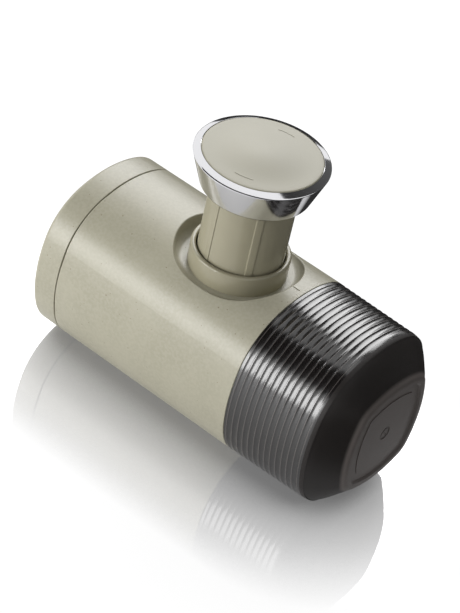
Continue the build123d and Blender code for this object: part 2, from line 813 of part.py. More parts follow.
# ---------------------------------------------------------------- base of the brewing head
cup_groove_x = cup_joint_x + cup_groove_inset
with BuildPart() as outlet_base:
    with BuildSketch(section_plane(frame_end_x)):
        rounded_square(frame_half)
    extrude(amount=base_thickness)
    # spigot that carries the cup
    with BuildSketch(section_plane(cup_joint_x)):
        rounded_square(spigot_half)
        rounded_square(spigot_half - spigot_wall, mode=Mode.SUBTRACT)
    extrude(amount=spigot_length)
    with BuildSketch(section_plane(cup_joint_x)):
        Circle(thread_radius)
        Circle(head_bore, mode=Mode.SUBTRACT)
    extrude(amount=thread_length)
    # groove for the cup seal
    with BuildSketch(section_plane(cup_groove_x)):
        rounded_square(cup_inner_half)
        rounded_square(spigot_half - cup_groove_depth, mode=Mode.SUBTRACT)
    extrude(amount=ring_groove_width, mode=Mode.SUBTRACT)
    # water way from the valve block up to the middle of the shower plate
    with BuildSketch(section_plane(frame_end_x)):
        with Locations((0, valve_line / 2)):
            SlotOverall(abs(valve_line) + 2 * valve_bore_radius, 2 * valve_bore_radius, rotation=90)
    extrude(amount=base_thickness / 2, mode=Mode.SUBTRACT)
    with BuildSketch(section_plane(frame_end_x)):
        Circle(valve_bore_radius)
    extrude(amount=base_thickness, mode=Mode.SUBTRACT)
    with BuildSketch(section_plane(frame_end_x)):
        with Locations(screw_spots):
            Circle(screw_radius + fit)
    extrude(amount=base_thickness, mode=Mode.SUBTRACT)
    with BuildSketch(section_plane(cup_joint_x - screw_head_height)):
        with Locations(screw_spots):
            Circle(screw_head_radius + fit)
    extrude(amount=spigot_length, mode=Mode.SUBTRACT)
save(outlet_base, "outlet_base")

with BuildPart() as frame_screws:
    for head_x, shank_x in (
        (bulkhead_x, bulkhead_x + screw_head_height),
        (cup_joint_x - screw_head_height, cup_joint_x - screw_head_height - screw_length),
    ):
        with BuildSketch(section_plane(head_x)):
            with Locations(screw_spots):
                Circle(screw_head_radius)
        extrude(amount=screw_head_height)
        with BuildSketch(section_plane(shank_x)):
            with Locations(screw_spots):
                Circle(screw_radius)
        extrude(amount=screw_length)
save(frame_screws, "frame_screws")

with BuildPart() as cup_seal:
    with BuildSketch(section_plane(cup_groove_x + running_gap / 2)):
        rounded_square(cup_inner_half - seal_fit)
        rounded_square(spigot_half - cup_groove_depth + fit, mode=Mode.SUBTRACT)
    extrude(amount=ring_groove_width - running_gap)
save(cup_seal, "cup_seal")

# ---------------------------------------------------------------- brewing head
with BuildPart() as shower_plate:
    with BuildSketch(section_plane(cup_joint_x)):
        Circle(head_bore - fit)
        for ring in range(1, hole_rings + 1):
            with PolarLocations(ring * shower_hole_pitch, 6 * ring):
                Circle(shower_hole_radius, mode=Mode.SUBTRACT)
    extrude(amount=shower_thickness)
save(shower_plate, "shower_plate")

head_gasket_x = cup_joint_x + shower_thickness
with BuildPart() as head_gasket:
    with BuildSketch(section_plane(head_gasket_x)):
        Circle(head_bore - fit)
        Circle(basket_radius - basket_wall, mode=Mode.SUBTRACT)
    extrude(amount=head_gasket_thickness)
save(head_gasket, "head_gasket")

basket_x = head_gasket_x + head_gasket_thickness + fit
basket_end_x = basket_x + basket_depth
rim_radius = head_bore - free_gap
with BuildPart() as filter_basket:
    with BuildSketch(section_plane(basket_x)):
        Circle(basket_radius)
    extrude(amount=basket_depth)
    fillet(end_edges(filter_basket, basket_end_x), basket_edge)
    with BuildSketch(section_plane(basket_x)):
        Circle(rim_radius)
    extrude(amount=basket_rim_thickness)
    with BuildSketch(section_plane(basket_x)):
        Circle(basket_radius - basket_wall)
    extrude(amount=basket_depth - basket_wall, mode=Mode.SUBTRACT)
    with BuildSketch(section_plane(basket_x)):
        for ring in range(1, hole_rings + 1):
            with PolarLocations(ring * basket_hole_pitch, 6 * ring):
                Circle(basket_hole_radius)
    extrude(amount=basket_depth, mode=Mode.SUBTRACT)
save(filter_basket, "filter_basket")

skirt_start_x = cup_joint_x + cap_setback
skirt_step_x = cup_joint_x + thread_length + free_gap
rim_seat_x = basket_x + basket_rim_thickness + fit
cap_inner_x = basket_end_x + fit
cap_end_x = cap_inner_x + cap_floor
drain_radius = basket_radius - drain_inset
with BuildPart() as outlet_head:
    with BuildSketch(body_profile):
        with BuildLine():
            Polyline(
                (skirt_start_x, skirt_inner),
                (skirt_start_x, skirt_radius),
                (cap_end_x - cap_edge, skirt_radius),
                (cap_end_x, skirt_radius - cap_edge),
                (cap_end_x, spout_radius),
                (cap_inner_x + drain_depth, spout_radius),
                (cap_inner_x + drain_depth, drain_radius),
                (cap_inner_x, drain_radius),
                (cap_inner_x, basket_radius + fit),
                (rim_seat_x, basket_radius + fit),
                (rim_seat_x, rim_radius),
                (skirt_step_x, rim_radius),
                (skirt_step_x, skirt_inner),
                close=True,
            )
        make_face()
    revolve(axis=body_axis)
    # finger flutes round the skirt
    with BuildSketch(section_plane(skirt_start_x + cap_plain_band)):
        with PolarLocations(skirt_radius + cap_grip_radius - cap_grip_depth, cap_grip_count):
            Circle(cap_grip_radius)
    extrude(amount=cap_end_x - skirt_start_x - cap_plain_band, mode=Mode.SUBTRACT)
save(outlet_head, "outlet_head")

spout_flange_x = cap_end_x + spout_flange_height
spout_tip_x = cap_end_x + spout_length
with BuildPart() as spout:
    with BuildSketch(body_profile):
        with BuildLine():
            Polyline(
                (cap_inner_x + drain_depth, spout_bore),
                (cap_inner_x + drain_depth, spout_radius),
                (cap_end_x, spout_radius),
                (cap_end_x, spout_radius + spout_flange),
                (spout_flange_x, spout_radius + spout_flange),
                (spout_flange_x + spout_taper_height, spout_radius - free_gap),
                (spout_tip_x, spout_bore + spout_tip_wall),
                (spout_tip_x, spout_bore),
                close=True,
            )
        make_face()
    revolve(axis=body_axis)
save(spout, "spout")

# ---------------------------------------------------------------- cup
flute_width = rib_pitch - rib_land
flute_radius = (flute_width**2 / 4 + rib_depth**2) / (2 * rib_depth)
plateau_half = foot_half - cup_lip_width - cup_plateau_inset

with BuildPart() as cup:
    with BuildSketch(section_plane(cup_mouth_x)):
        rounded_square(half_width)
    with BuildSketch(section_plane(shoulder_x)):
        rounded_square(shoulder_half)
    loft()
    fillet(end_edges(cup, cup_mouth_x), edge_break)
    with BuildSketch(section_plane(shoulder_x)):
        rounded_square(shoulder_half)
    with BuildSketch(section_plane(cup_end_x)):
        foot_square(foot_half)
    loft()
    # inside: straight where it takes the spigot, then drawn in towards the floor
    with BuildSketch(section_plane(cup_mouth_x)):
        rounded_square(cup_inner_half)
    extrude(amount=shoulder_x - cup_mouth_x - cup_wall / 2, mode=Mode.SUBTRACT)
    with BuildSketch(section_plane(shoulder_x - cup_wall / 2)):
        rounded_square(cup_inner_half)
    with BuildSketch(section_plane(cup_floor_x - cup_floor)):
        foot_square(foot_half - cup_wall / 2)
    loft(mode=Mode.SUBTRACT)
    # foot: a raised lip, a bare sunken ring and a low plateau with a dimple
    with BuildSketch(section_plane(cup_end_x)):
        foot_square(foot_half - cup_lip_width)
    extrude(amount=-cup_lip_depth, mode=Mode.SUBTRACT)
    with BuildSketch(section_plane(cup_floor_x)):
        foot_square(plateau_half)
        Circle(cup_dimple_radius, mode=Mode.SUBTRACT)
    extrude(amount=cup_plateau_height)
    # shallow flutes round the grip: a round cutter run along the section, following its draft
    for flute in range(rib_count):
        flute_x = cup_joint_x + rib_first + flute * rib_pitch
        draft = cup_draft * (flute_x - cup_mouth_x) / (shoulder_x - cup_mouth_x)
        lift = flute_radius - rib_depth - draft
        with BuildLine(section_plane(flute_x)) as flute_path:
            square_outline(half_width + lift, side_radius + lift, corner_radius + lift)
        with BuildSketch(Plane(origin=flute_path.line @ 0, z_dir=flute_path.line % 0)):
            Circle(flute_radius)
        sweep(mode=Mode.SUBTRACT)
    with BuildSketch(Plane.XY):
        Rectangle(total_length, body_width)
    extrude(amount=-overshoot, mode=Mode.SUBTRACT)
save(cup, "cup")
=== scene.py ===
import json
import math

import bmesh
import bpy
from mathutils import Matrix, Vector

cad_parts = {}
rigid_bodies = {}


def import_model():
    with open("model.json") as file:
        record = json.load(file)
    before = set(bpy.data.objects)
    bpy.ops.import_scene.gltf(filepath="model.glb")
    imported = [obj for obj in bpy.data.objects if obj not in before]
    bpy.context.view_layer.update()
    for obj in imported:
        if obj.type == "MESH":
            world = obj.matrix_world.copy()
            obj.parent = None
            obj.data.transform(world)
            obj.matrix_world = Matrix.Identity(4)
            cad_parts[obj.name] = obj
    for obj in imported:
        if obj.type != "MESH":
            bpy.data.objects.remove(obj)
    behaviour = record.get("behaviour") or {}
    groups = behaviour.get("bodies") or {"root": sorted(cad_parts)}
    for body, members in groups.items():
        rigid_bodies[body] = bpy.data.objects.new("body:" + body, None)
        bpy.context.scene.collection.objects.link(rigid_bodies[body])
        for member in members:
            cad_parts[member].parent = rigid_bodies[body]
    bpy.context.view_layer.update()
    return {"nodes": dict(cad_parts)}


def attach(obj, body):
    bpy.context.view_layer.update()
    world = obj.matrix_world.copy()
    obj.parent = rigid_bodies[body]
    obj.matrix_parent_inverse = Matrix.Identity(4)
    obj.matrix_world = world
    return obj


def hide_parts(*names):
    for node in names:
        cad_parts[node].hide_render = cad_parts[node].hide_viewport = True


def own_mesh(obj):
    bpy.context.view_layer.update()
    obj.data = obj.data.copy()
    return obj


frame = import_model()
bpy.ops.object.select_all(action="DESELECT")
scene = bpy.context.scene
scene.view_settings.view_transform = "Standard"

# ---------------------------------------------------------------- camera
# A short telephoto, looking down on the maker from the front left with a slight roll.
camera_data = bpy.data.cameras.new("studio_camera")
camera_data.lens = 143.08
camera_data.sensor_width = 36.0
camera_data.sensor_height = 36.0
camera_data.sensor_fit = "VERTICAL"
camera = bpy.data.objects.new("studio_camera", camera_data)
scene.collection.objects.link(camera)
right = Vector((0.7557, 0.6296, 0.1803))
up = Vector((-0.5101, 0.3932, 0.7649))
back = Vector((0.4107, -0.6701, 0.6183))
camera_turn = Matrix((right, up, back)).transposed().to_4x4()
camera.matrix_world = Matrix.Translation((0.3607, -0.5967, 0.5930)) @ camera_turn
scene.camera = camera


# ---------------------------------------------------------------- studio
# A white glossy table in a white room. Two large softboxes light the maker from behind and from the front
# left, and black cards that only reflections see give the chrome and the gloss plastic their dark bands.
def add_node(tree, kind, **inputs):
    """a shader node with its sockets set, or linked where a socket is given; i0, i1... count the sockets"""
    made = tree.nodes.new(kind)
    for name, value in inputs.items():
        counted = name[0] == "i" and name[1:].isdigit()
        socket = made.inputs[int(name[1:]) if counted else name.replace("_", " ")]
        if isinstance(value, bpy.types.NodeSocket):
            tree.links.new(value, socket)
        else:
            socket.default_value = value
    return made


def blank_material(name):
    """a new material, its tree and its output node"""
    material = bpy.data.materials.new(name)
    material.use_nodes = True
    material.node_tree.nodes.clear()
    return material, material.node_tree, material.node_tree.nodes.new("ShaderNodeOutputMaterial")


def calculated(tree, operation, first, second):
    """the result of a math node"""
    made = add_node(tree, "ShaderNodeMath", i0=first, i1=second)
    made.operation = operation
    return made.outputs[0]


def ranged(tree, value, from_low, from_high, to_low, to_high):
    """a value carried from one range to another, and held at its ends"""
    return add_node(
        tree, "ShaderNodeMapRange", Value=value, From_Min=from_low, From_Max=from_high, To_Min=to_low, To_Max=to_high
    ).outputs[0]


def seen_directly(tree, ray):
    """1 for rays from the camera, a reflection or a clear surface, and 0 for light that is scattered"""
    seen = calculated(tree, "MAXIMUM", ray.outputs["Is Camera Ray"], ray.outputs["Is Glossy Ray"])
    return calculated(tree, "MAXIMUM", seen, ray.outputs["Is Transmission Ray"])


world = bpy.data.worlds.new("white_room")
scene.world = world
world.use_nodes = True
tree = world.node_tree
tree.nodes.clear()
direct = seen_directly(tree, tree.nodes.new("ShaderNodeLightPath"))
level = ranged(tree, direct, 0.0, 1.0, 0.30, 1.0)
room = add_node(tree, "ShaderNodeBackground", Color=(1.0, 1.0, 1.0, 1.0), Strength=level)
tree.links.new(room.outputs[0], tree.nodes.new("ShaderNodeOutputWorld").inputs[0])

bpy.ops.mesh.primitive_plane_add(size=8, location=(0, 0, 0))
table = bpy.context.object
table.name = "table_top"
material, tree, output = blank_material("white_gloss_table")
ray = tree.nodes.new("ShaderNodeLightPath")
direct = seen_directly(tree, ray)
lacquer = add_node(tree, "ShaderNodeBsdfPrincipled", Base_Color=(0.86, 0.86, 0.87, 1), Roughness=0.45)
# the table's white glow is dimmed by ambient occlusion near the maker: a painted contact shadow
openness = add_node(tree, "ShaderNodeAmbientOcclusion", Distance=0.045).outputs["AO"]
shade = ranged(tree, openness, 0.30, 1.0, 0.22, 1.12)
# behind and beside the maker the table is painted dark for reflections only, which keeps the undersides from going
# white
place = add_node(tree, "ShaderNodeSeparateXYZ", Vector=tree.nodes.new("ShaderNodeTexCoord").outputs["Object"])
behind = ranged(tree, place.outputs[1], 0.06, 0.09, 0.0, 1.0)
beside = ranged(tree, place.outputs[0], 0.08, 0.095, 0.0, 1.0)
dark_zone = calculated(tree, "MULTIPLY", calculated(tree, "MAXIMUM", behind, beside), ray.outputs["Is Glossy Ray"])
painted_shade_glow = add_node(tree, "ShaderNodeMix", i0=dark_zone, i2=shade, i3=0.03)
white = add_node(tree, "ShaderNodeEmission", Color=(1, 1, 1, 1), Strength=painted_shade_glow.outputs[0])
whiteness = ranged(tree, ray.outputs["Is Camera Ray"], 0.0, 1.0, 0.35, 0.80)
lift = calculated(tree, "MAXIMUM", calculated(tree, "MULTIPLY", direct, whiteness), dark_zone)
lifted = add_node(tree, "ShaderNodeMixShader", Fac=lift, i1=lacquer.outputs[0], i2=white.outputs[0])
mirror = add_node(tree, "ShaderNodeBsdfAnisotropic", Color=(1, 0.99, 1, 1), Roughness=0.03)
polish = calculated(tree, "MULTIPLY", ray.outputs["Is Camera Ray"], ranged(tree, openness, 0.80, 0.995, 0.22, 0.0))
glossed = add_node(tree, "ShaderNodeMixShader", Fac=polish, i1=lifted.outputs[0], i2=mirror.outputs[0])
tree.links.new(glossed.outputs[0], output.inputs[0])
table.data.materials.append(material)

studio_heart = Vector((0, 0, 0.05))


def softbox(name, place, width, height, power):
    """a large area lamp at a place, turned towards the maker"""
    lamp_data = bpy.data.lights.new(name, "AREA")
    lamp_data.shape = "RECTANGLE"
    lamp_data.size, lamp_data.size_y = width, height
    lamp_data.energy = power
    lamp = bpy.data.objects.new(name, lamp_data)
    lamp.location = place
    lamp.rotation_euler = (studio_heart - Vector(place)).to_track_quat("-Z", "Y").to_euler()
    scene.collection.objects.link(lamp)


softbox("back_softbox", (-0.48, 0.77, 0.74), 0.72, 0.80, 8.6)
softbox("front_softbox", (-0.50, -0.97, 0.27), 0.85, 0.54, 9.6)


def black_card(name, place, aim, width, height, shade):
    """a dark card that only reflections see, darker towards its top"""
    bpy.ops.mesh.primitive_plane_add(size=1, location=place)
    card = bpy.context.object
    card.name = name
    card.scale = (width, height, 1)
    card.rotation_euler = (Vector(aim) - Vector(place)).to_track_quat("Z", "Y").to_euler()
    material, tree, output = blank_material(name)
    on_card = add_node(tree, "ShaderNodeSeparateXYZ", Vector=tree.nodes.new("ShaderNodeTexCoord").outputs["Object"])
    fall = ranged(tree, on_card.outputs[1], -0.5, 0.5, 1.7, 0.3)
    dark = add_node(tree, "ShaderNodeEmission", Color=(shade, shade, shade, 1), Strength=fall)
    tree.links.new(dark.outputs[0], output.inputs[0])
    card.data.materials.append(material)
    card.visible_camera = card.visible_diffuse = card.visible_shadow = False


black_card("overhead_card", (-0.10, -0.49, 0.93), studio_heart, 2.0, 0.90, 0.012)
black_card("right_card", (0.22, 0.96, 0.70), studio_heart, 1.05, 1.75, 0.09)
black_card("side_card", (1.08, 0.28, 0.36), studio_heart, 1.60, 0.80, 0.03)
black_card("back_card", (-0.40, 1.25, 0.03), (0, 0, 0.03), 1.60, 0.30, 0.03)


# ---------------------------------------------------------------- body shell
# The pump body, a rounded square tube with a dished recess on top, moulded from plant-fibre plastic: greige,
# finely textured, with sparse brown specks from the fibre. Everything else is fixed in it or turns on it.
def object_point(tree, scale):
    """object coordinates for a pattern that repeats about scale times in a metre"""
    place = tree.nodes.new("ShaderNodeTexCoord")
    return add_node(tree, "ShaderNodeMapping", Vector=place.outputs["Object"], Scale=(scale, scale, scale)).outputs[0]


def noise(tree, scale, detail=2.0):
    """a cloudy pattern with about scale clouds in a metre"""
    return add_node(tree, "ShaderNodeTexNoise", Vector=object_point(tree, scale), Scale=1.0, Detail=detail).outputs[0]


def swing(tree, pattern, low, high):
    """the middle of a noise pattern, stretched between two values"""
    return ranged(tree, pattern, 0.3, 0.7, low, high)


def mix_colour(tree, factor, first, second):
    """two colours mixed by a pattern"""
    made = tree.nodes.new("ShaderNodeMix")
    made.data_type = "RGBA"
    for socket, value in zip((made.inputs[0], made.inputs[6], made.inputs[7]), (factor, first, second)):
        if isinstance(value, bpy.types.NodeSocket):
            tree.links.new(value, socket)
        else:
            socket.default_value = value
    return made.outputs[2]


def bumped(tree, height, strength, distance):
    """a normal raised by a pattern; distance is in metres"""
    return add_node(tree, "ShaderNodeBump", Strength=strength, Distance=distance, Height=height).outputs[0]


def surfaced(tree, output, **inputs):
    """joins a principled surface to the material's output"""
    surface = add_node(tree, "ShaderNodeBsdfPrincipled", **inputs)
    tree.links.new(surface.outputs[0], output.inputs[0])


def dress(material, *names):
    """puts a material in every slot of these CAD nodes"""
    for name in names:
        for place in frame["nodes"][name].material_slots:
            place.material = material


shell_plastic, tree, output = blank_material("speckled_greige_plastic")
cloud = ranged(tree, noise(tree, 60.0, 3.0), 0.35, 0.65, 0.0, 1.0)
ground = mix_colour(tree, cloud, (0.372, 0.354, 0.268, 1), (0.400, 0.382, 0.292, 1))
grain = ranged(tree, noise(tree, 900.0, 3.0), 0.4, 0.62, 0.0, 0.55)
grained = mix_colour(tree, grain, ground, (0.440, 0.422, 0.330, 1))
cells = add_node(tree, "ShaderNodeTexVoronoi", Vector=object_point(tree, 620.0), Scale=1.0, Randomness=1.0)
picked = add_node(tree, "ShaderNodeSeparateColor", Color=cells.outputs["Color"]).outputs[0]
speck_size = ranged(tree, picked, 0.72, 1.0, 0.0, 0.17)
speck = calculated(tree, "LESS_THAN", cells.outputs["Distance"], speck_size)
speckled = mix_colour(tree, calculated(tree, "MULTIPLY", speck, 0.62), grained, (0.150, 0.105, 0.060, 1))
skin = noise(tree, 2600.0)
surfaced(
    tree, output, Base_Color=speckled, Roughness=swing(tree, skin, 0.28, 0.36), IOR=1.5,
    Normal=bumped(tree, skin, 0.5, 0.00006),
)
dress(shell_plastic, "body_shell")


# ---------------------------------------------------------------- pump frame and its screws
# One moulding in glass-filled nylon, ivory as it leaves the tool, with faint flow marks. It carries the pump
# and the two ends, and four stainless screws hold it to the shell.
def moulded(name, colour, roughness, relief=0.00002, grain=1500.0, spread=0.06):
    """a moulded plastic or rubber: colour and roughness drift a little, and the skin has a fine grain"""
    material, tree, output = blank_material(name)
    darker = tuple(c * (1 - spread) for c in colour) + (1,)
    lighter = tuple(min(1.0, c * (1 + spread)) for c in colour) + (1,)
    skin = noise(tree, grain)
    surfaced(
        tree, output, Base_Color=mix_colour(tree, swing(tree, noise(tree, 45.0, 3.0), 0.0, 1.0), darker, lighter),
        Roughness=swing(tree, skin, roughness * 0.9, roughness * 1.1), Normal=bumped(tree, skin, 0.5, relief),
    )
    return material


ivory_nylon = moulded("glass_filled_nylon", (0.520, 0.500, 0.435), 0.46, relief=0.00005, grain=1100.0, spread=0.07)
dress(ivory_nylon, "pump_frame")


def metal(name, colour, low, high, lines):
    """bare metal with drawing lines: lines is the pattern's scale along each axis"""
    material, tree, output = blank_material(name)
    place = tree.nodes.new("ShaderNodeTexCoord").outputs["Object"]
    place = add_node(tree, "ShaderNodeMapping", Vector=place, Scale=lines).outputs[0]
    drawn = add_node(tree, "ShaderNodeTexNoise", Vector=place, Scale=1.0, Detail=3.0).outputs[0]
    stained = tuple(c * 0.94 for c in colour) + (1,)
    surfaced(
        tree, output, Base_Color=mix_colour(tree, swing(tree, noise(tree, 120.0), 0.0, 1.0), stained, colour + (1,)),
        Metallic=1.0, Roughness=swing(tree, drawn, low, high), Normal=bumped(tree, drawn, 0.35, 0.00001),
    )
    return material


screw_steel = metal("stainless_screws", (0.56, 0.56, 0.57), 0.22, 0.34, (3000.0, 3000.0, 3000.0))
dress(screw_steel, "frame_screws")

# ---------------------------------------------------------------- valve block and valves
# The valve block is a second nylon moulding under the pump; two white acetal poppets in it let the water in
# and out, and a silicone gasket seals the cylinder on it.
dress(ivory_nylon, "valve_block")
white_acetal = moulded("white_acetal", (0.720, 0.715, 0.690), 0.28, relief=0.000008, grain=1800.0, spread=0.02)
dress(white_acetal, "inlet_valve", "outlet_valve")
grey_silicone = moulded("grey_silicone", (0.115, 0.115, 0.112), 0.52, relief=0.00003, grain=900.0, spread=0.10)
dress(grey_silicone, "cylinder_gasket")

# ---------------------------------------------------------------- pump cylinder and plunger
# A honed steel cylinder, closed by a turned spring seat. The ground rod carries the acetal piston head with its
# black rubber seal, and a spring of drawn wire pushes the rod back up.
mm = 0.001
axis_z = 33.5076 * mm                       # height of the body's axis
column_x = -6.10 * mm                       # the plunger's axis


def from_axis(tree, centre, across):
    """the place seen from a centre, and its distance from an axis; across is 0 along the axis and 1 across it"""
    place = tree.nodes.new("ShaderNodeTexCoord").outputs["Object"]
    from_centre = add_node(tree, "ShaderNodeVectorMath", i0=place, i1=centre)
    from_centre.operation = "SUBTRACT"
    flat = add_node(tree, "ShaderNodeVectorMath", i0=from_centre.outputs[0], i1=across)
    flat.operation = "MULTIPLY"
    radius = add_node(tree, "ShaderNodeVectorMath", i0=flat.outputs[0])
    radius.operation = "LENGTH"
    return from_centre.outputs[0], radius.outputs["Value"]


def turned_steel(name, along, centre, colour, low, high):
    """steel with fine lathe lines round an axis: along is 0, 1 or 2 for X, Y or Z"""
    material, tree, output = blank_material(name)
    from_centre, radius = from_axis(tree, centre, [0.0 if axis == along else 1.0 for axis in range(3)])
    height = add_node(tree, "ShaderNodeSeparateXYZ", Vector=from_centre).outputs[along]
    lathe = add_node(tree, "ShaderNodeCombineXYZ", X=radius, Y=height).outputs[0]
    lines = add_node(tree, "ShaderNodeTexNoise", Vector=lathe, Scale=5200.0, Detail=3.0).outputs[0]
    stained = tuple(c * 0.95 for c in colour) + (1,)
    surfaced(
        tree, output, Base_Color=mix_colour(tree, swing(tree, noise(tree, 90.0), 0.0, 1.0), stained, colour + (1,)),
        Metallic=1.0, Roughness=swing(tree, lines, low, high), Normal=bumped(tree, lines, 0.4, 0.000012),
    )
    return material


column_steel = turned_steel("turned_column_steel", 2, (column_x, 0.0, axis_z), (0.60, 0.60, 0.61), 0.16, 0.28)
dress(column_steel, "pump_cylinder", "piston_rod", "spring_seat")
dress(white_acetal, "piston_head")
black_rubber = moulded("black_seal_rubber", (0.022, 0.022, 0.023), 0.48, relief=0.00003, grain=1200.0, spread=0.12)
dress(black_rubber, "piston_seal")


def edit_start(name):
    """names the new primitive, puts its place in its mesh and opens it with everything picked"""
    piece = bpy.context.object
    piece.name = name
    bpy.ops.object.transform_apply(location=True, rotation=True, scale=True)
    bpy.ops.object.mode_set(mode="EDIT")
    bpy.ops.mesh.select_mode(type="EDGE")
    bpy.ops.mesh.select_all(action="SELECT")
    return piece


def join_doubles():
    """joins doubled points and turns all faces outwards"""
    bpy.ops.mesh.select_mode(type="VERT")
    bpy.ops.mesh.select_all(action="SELECT")
    bpy.ops.mesh.remove_doubles(threshold=0.002 * mm)
    bpy.ops.mesh.normals_make_consistent(inside=False)


def close_up():
    """cleans the mesh and leaves edit mode"""
    join_doubles()
    bpy.ops.object.mode_set(mode="OBJECT")


coil_foot, coil_top, coil_radius, wire_radius = 17.614 * mm, 101.501 * mm, 10.4 * mm, 0.8 * mm
coil_turns, steps_in_turn, wire_sides = 10, 40, 14
bpy.ops.mesh.primitive_circle_add(
    vertices=wire_sides, radius=wire_radius, location=(column_x, 0, coil_foot + wire_radius),
    rotation=(math.pi / 2, 0, 0),
)
spring = bpy.context.object
spring.name = "return_spring"
bpy.ops.object.transform_apply(location=False, rotation=True, scale=True)
bpy.ops.object.mode_set(mode="EDIT")
bpy.ops.mesh.select_all(action="SELECT")
bpy.ops.transform.translate(value=(coil_radius, 0, 0))
bpy.ops.object.mode_set(mode="OBJECT")
bpy.ops.object.modifier_add(type="SCREW")
winding = spring.modifiers[-1]
winding.axis, winding.angle, winding.iterations = "Z", 2 * math.pi, coil_turns
winding.screw_offset = (coil_top - coil_foot - 2 * wire_radius) / coil_turns
winding.steps = winding.render_steps = steps_in_turn
bpy.ops.object.modifier_apply(modifier=winding.name)
bpy.ops.object.transform_apply(location=True, rotation=True, scale=True)
bpy.ops.object.mode_set(mode="EDIT")
bpy.ops.mesh.select_all(action="SELECT")
bpy.ops.mesh.fill_holes(sides=wire_sides)
close_up()
bpy.ops.object.shade_smooth_by_angle(angle=math.radians(50))
spring.data.materials.append(metal("drawn_spring_wire", (0.52, 0.52, 0.53), 0.18, 0.30, (900.0, 900.0, 6000.0)))
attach(spring, "body")
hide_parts("piston_spring")
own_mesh(spring)

# ---------------------------------------------------------------- collar
# A separate ring in gloss taupe plastic, pushed through the floor of the recess and held by a nylon nut
# inside. It guides the stem, and a wiper ring under it keeps coffee dust out.
gloss_taupe = moulded("gloss_taupe_plastic", (0.325, 0.302, 0.212), 0.18, relief=0.000004, grain=900.0)
dress(gloss_taupe, "collar")
dress(ivory_nylon, "collar_nut")
dress(black_rubber, "wiper_seal")


# ---------------------------------------------------------------- piston stem
# The hollow stem that the palm drives: injection moulded in gloss taupe plastic, with six low ribs that keep
# it straight in the collar, a stop flange at its foot and a plate at its top that takes the knob's screws.
def pick(kind, test):
    """picks the vertices, edges or faces whose middle passes the test; for an edge it also gets the edge's run"""
    bpy.ops.mesh.select_mode(type=kind)
    bpy.ops.mesh.select_all(action="DESELECT")
    form = bmesh.from_edit_mesh(bpy.context.object.data)
    for item in {"VERT": form.verts, "EDGE": form.edges, "FACE": form.faces}[kind]:
        if kind == "VERT":
            item.select = test(item.co)
        elif kind == "EDGE":
            start, end = (corner.co for corner in item.verts)
            item.select = test((start + end) / 2, end - start)
        else:
            item.select = test(item.calc_center_median())
    form.select_flush_mode()
    bmesh.update_edit_mesh(bpy.context.object.data)


def from_column(point):
    """distance from the plunger's axis and bearing round it, in millimetres and degrees"""
    x, y = point.x - column_x, point.y
    return math.hypot(x, y) / mm, math.degrees(math.atan2(y, x))


def turned(name, count, outline, turn=0.0):
    """turns an outline of (radius, height) round the plunger's axis: a ring carried from point to point"""
    bpy.ops.object.select_all(action="DESELECT")
    radius, height = outline[0]
    bpy.ops.mesh.primitive_circle_add(
        vertices=count, radius=radius * mm, location=(column_x, 0, axis_z + height * mm),
        rotation=(0, 0, math.radians(turn)),
    )
    piece = edit_start(name)
    for next_radius, next_height in outline[1:]:
        bpy.ops.mesh.extrude_region_move(TRANSFORM_OT_translate={"value": (0, 0, (next_height - height) * mm)})
        ratio = next_radius / radius
        bpy.ops.transform.resize(value=(ratio, ratio, 1), center_override=(column_x, 0, axis_z + next_height * mm))
        radius, height = next_radius, next_height
    return piece


def soften(piece, width, segments, angle=30):
    """rounds every sharp edge and shades the rest smooth"""
    bpy.ops.object.modifier_add(type="BEVEL")
    rounding = piece.modifiers[-1]
    rounding.width = width * mm
    rounding.segments = segments
    rounding.limit_method = "ANGLE"
    rounding.angle_limit = math.radians(angle)
    bpy.ops.object.modifier_apply(modifier=rounding.name)
    bpy.ops.object.shade_smooth_by_angle(angle=math.radians(angle))


stem_radius, rib_height, rib_half_angle = 16.0, 0.3, 3.6
rib_bearings = [-102 + 60 * rib for rib in range(6)]
stem_outline = [
    (13.6, 15.05), (18.2, 15.05), (18.2, 17.45), (stem_radius, 17.45), (stem_radius, 74.0), (4.2, 74.0), (4.2, 70.6),
    (13.6, 70.6), (13.6, 15.05),
]


def under_rib(middle):
    """whether a face of the stem lies under one of its ribs"""
    radius, bearing = from_column(middle)
    height = (middle.z - axis_z) / mm
    off_rib = min(abs((bearing - rib + 180) % 360 - 180) for rib in rib_bearings)
    return abs(radius - stem_radius) < 0.1 and 18 < height < 73 and off_rib < rib_half_angle


stem = turned("stem", 150, stem_outline, turn=rib_bearings[0] - rib_half_angle)
pick("FACE", under_rib)
bpy.ops.mesh.extrude_region_shrink_fatten(TRANSFORM_OT_shrink_fatten={"value": rib_height * mm})
close_up()
soften(stem, 0.10, 3)
stem.data.materials.append(gloss_taupe)
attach(stem, "knob")
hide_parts("piston_stem")

# ---------------------------------------------------------------- knob
# A turned, polished and chromed ring with a satin plastic pad pressed into it; the pad is a low dome for the
# palm with two fine engraved arcs. Three screws under the pad hold the ring to the stem.
chrome, tree, output = blank_material("chrome_plate")
polish = swing(tree, noise(tree, 300.0), 0.075, 0.105)
surfaced(tree, output, Base_Color=(0.80, 0.80, 0.82, 1), Metallic=1.0, Roughness=polish)
ring_outline = [
    (4.2, 74.0), (22.43, 74.0), (18.8, 63.6), (19.75, 63.6), (20.08, 63.70), (20.32, 63.95), (20.46, 64.30),
    (24.62, 75.9), (24.73, 76.20), (24.70, 76.42), (24.55, 76.57), (24.32, 76.68), (22.12, 77.52), (22.05, 77.46),
    (22.05, 75.5), (4.2, 75.5), (4.2, 74.0),
]
knob = turned("knob_crown", 224, ring_outline)
close_up()
bpy.ops.object.shade_smooth_by_angle(angle=math.radians(32))
knob.data.materials.append(chrome)
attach(knob, "knob")
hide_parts("knob_ring")

